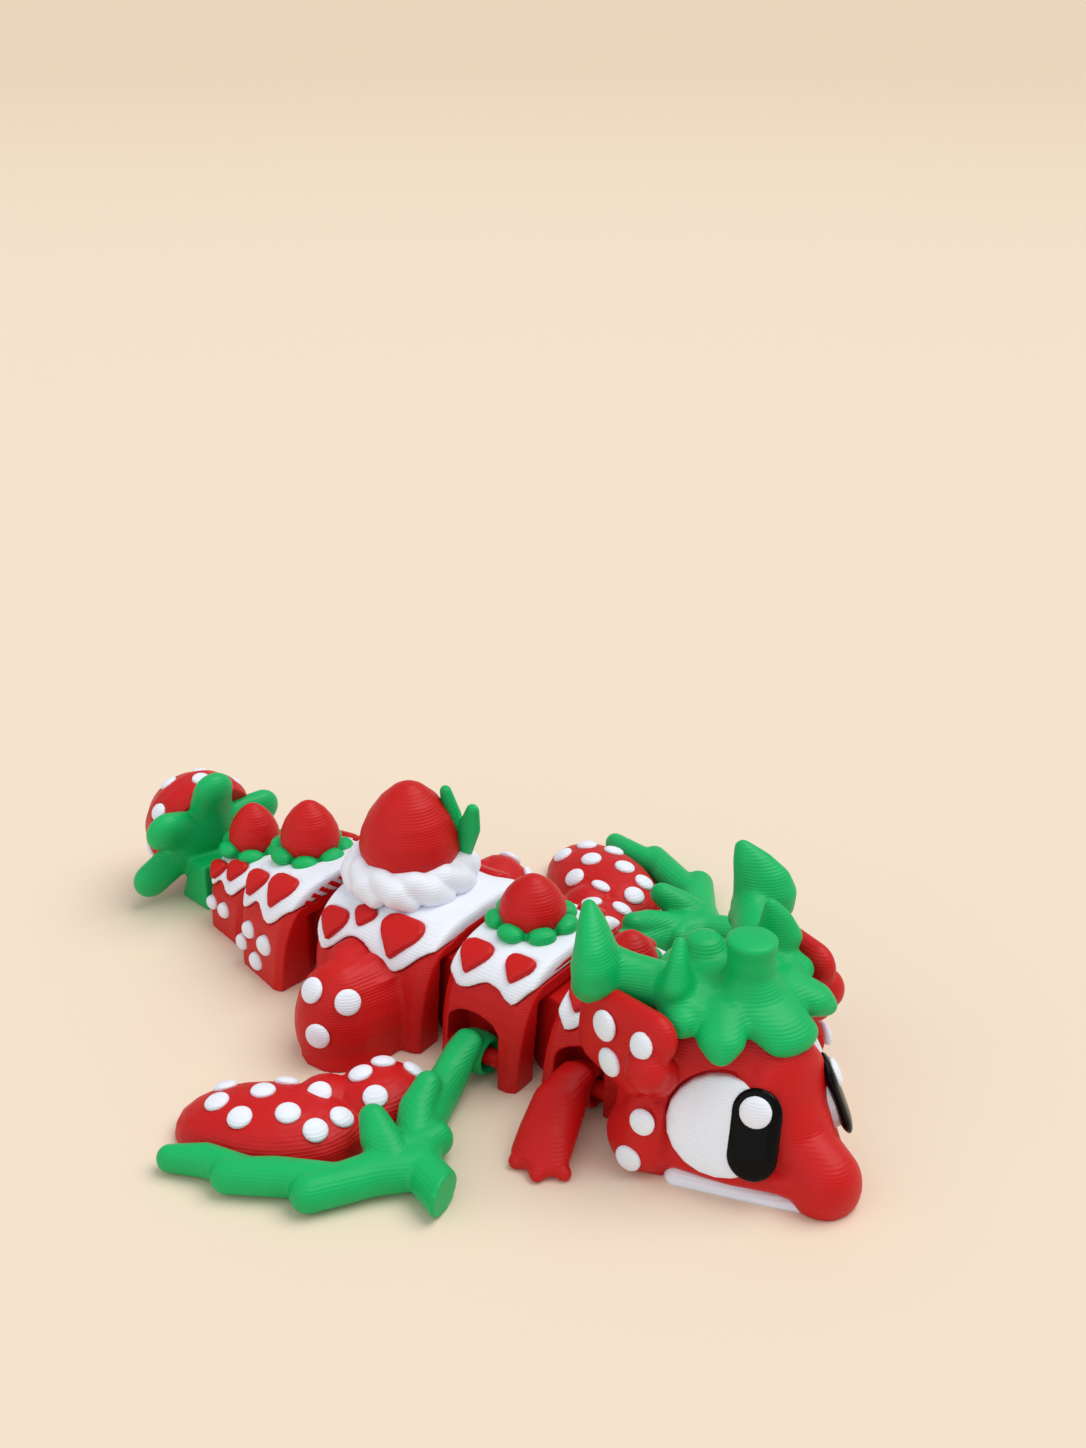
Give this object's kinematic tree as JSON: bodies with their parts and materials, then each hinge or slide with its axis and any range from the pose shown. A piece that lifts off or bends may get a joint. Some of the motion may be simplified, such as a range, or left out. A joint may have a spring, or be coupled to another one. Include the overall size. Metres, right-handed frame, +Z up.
{
  "type": "articulated toy dragon",
  "caption": "Flexible printed toy dragon made of cake slices with icing, hearts, strawberries and leaves; its head, neck, legs, wings, hips and tail turn on hidden pins.",
  "frame": {"origin": "on the ground under the middle of the shoulder slice", "axes": "+X towards the dragon's nose along the straight body, +Y to its left, +Z up"},
  "size_m": [0.0711, 0.0554, 0.0174],
  "materials": {
    "red_plastic": "satin strawberry red plastic with fine print layers",
    "green_plastic": "satin leaf green plastic with fine print layers",
    "white_plastic": "satin white plastic with fine print layers",
    "black_plastic": "glossy black plastic"
  },
  "bodies": {
    "shoulders": {"shoulder_block": "red_plastic", "shoulder_icing": "white_plastic", "shoulder_hearts": "red_plastic", "shoulder_calyx": "green_plastic", "shoulder_berry": "red_plastic"},
    "neck": {"neck_block": "red_plastic", "neck_icing": "white_plastic", "neck_hearts": "red_plastic", "neck_calyx": "green_plastic", "neck_berry": "red_plastic"},
    "front_leg_right": {"front_leg_right": "red_plastic"},
    "front_leg_left": {"front_leg_left": "red_plastic"},
    "head": {"head_shell": "red_plastic", "leaf_crown": "green_plastic", "chin_band": "white_plastic", "eye_whites": "white_plastic", "eye_pupils": "black_plastic", "eye_highlights": "white_plastic", "head_dots": "white_plastic"},
    "wing_right": {"wing_right_stem": "green_plastic", "wing_right_berries": "red_plastic", "wing_right_dots": "white_plastic"},
    "wing_left": {"wing_left_stem": "green_plastic", "wing_left_berries": "red_plastic", "wing_left_dots": "white_plastic"},
    "hips": {"hip_block": "red_plastic", "hip_icing": "white_plastic", "hip_hearts": "red_plastic", "hip_dots": "white_plastic", "cream_ring": "white_plastic", "hip_berry": "red_plastic", "hip_leaves": "green_plastic"},
    "tail_front": {"tail_front_block": "red_plastic", "tail_front_icing": "white_plastic", "tail_front_hearts": "red_plastic", "tail_front_dots": "white_plastic", "tail_front_calyx": "green_plastic", "tail_front_berry": "red_plastic"},
    "tail_rear": {"tail_rear_block": "red_plastic", "tail_rear_icing": "white_plastic", "tail_rear_hearts": "red_plastic", "tail_rear_dots": "white_plastic", "tail_rear_calyx": "green_plastic", "tail_rear_berry": "red_plastic"},
    "tail_tip": {"tip_calyx": "green_plastic", "tip_berry": "red_plastic", "tip_dots": "white_plastic"}
  },
  "joints": [
    {"name": "neck_turn", "type": "hinge", "parent": "shoulders", "child": "neck", "pos_m": [-0.0002, 0, 0.003], "axis": [0, 0, 1], "range_deg": [-13, 7]},
    {"name": "head_turn", "type": "hinge", "parent": "neck", "child": "head", "pos_m": [0.01089, 0.00058, 0.0025], "axis": [0, 0, 1], "range_deg": [-6.5, 47.5]},
    {"name": "leg_right_lift", "type": "hinge", "parent": "neck", "child": "front_leg_right", "pos_m": [0.00778, -0.00509, 0.0019], "axis": [-0.9986, -0.0523, 0], "range_deg": [0, 15]},
    {"name": "leg_left_lift", "type": "hinge", "parent": "neck", "child": "front_leg_left", "pos_m": [0.0072, 0.0059, 0.0019], "axis": [0.9986, 0.0523, 0], "range_deg": [0, 15]},
    {"name": "wing_right_lift", "type": "hinge", "parent": "shoulders", "child": "wing_right", "pos_m": [-0.0007, -0.0064, 0.0019], "axis": [-1, 0, 0], "range_deg": [0, 45]},
    {"name": "wing_left_lift", "type": "hinge", "parent": "shoulders", "child": "wing_left", "pos_m": [-0.0007, 0.0064, 0.0019], "axis": [1, 0, 0], "range_deg": [0, 45]},
    {"name": "hip_turn", "type": "hinge", "parent": "shoulders", "child": "hips", "pos_m": [-0.0089, 0, 0.003], "axis": [0, 0, 1], "range_deg": [-6, 6]},
    {"name": "tail_front_turn", "type": "hinge", "parent": "hips", "child": "tail_front", "pos_m": [-0.0213, 0, 0.003], "axis": [0, 0, 1], "range_deg": [-8, 20]},
    {"name": "tail_rear_turn", "type": "hinge", "parent": "tail_front", "child": "tail_rear", "pos_m": [-0.02916, 0.00083, 0.002], "axis": [0, 0, 1], "range_deg": [-16, 12]},
    {"name": "tail_tip_turn", "type": "hinge", "parent": "tail_rear", "child": "tail_tip", "pos_m": [-0.03434, 0.00119, 0.0015], "axis": [0, 0, 1], "range_deg": [-6, 18]}
  ]
}
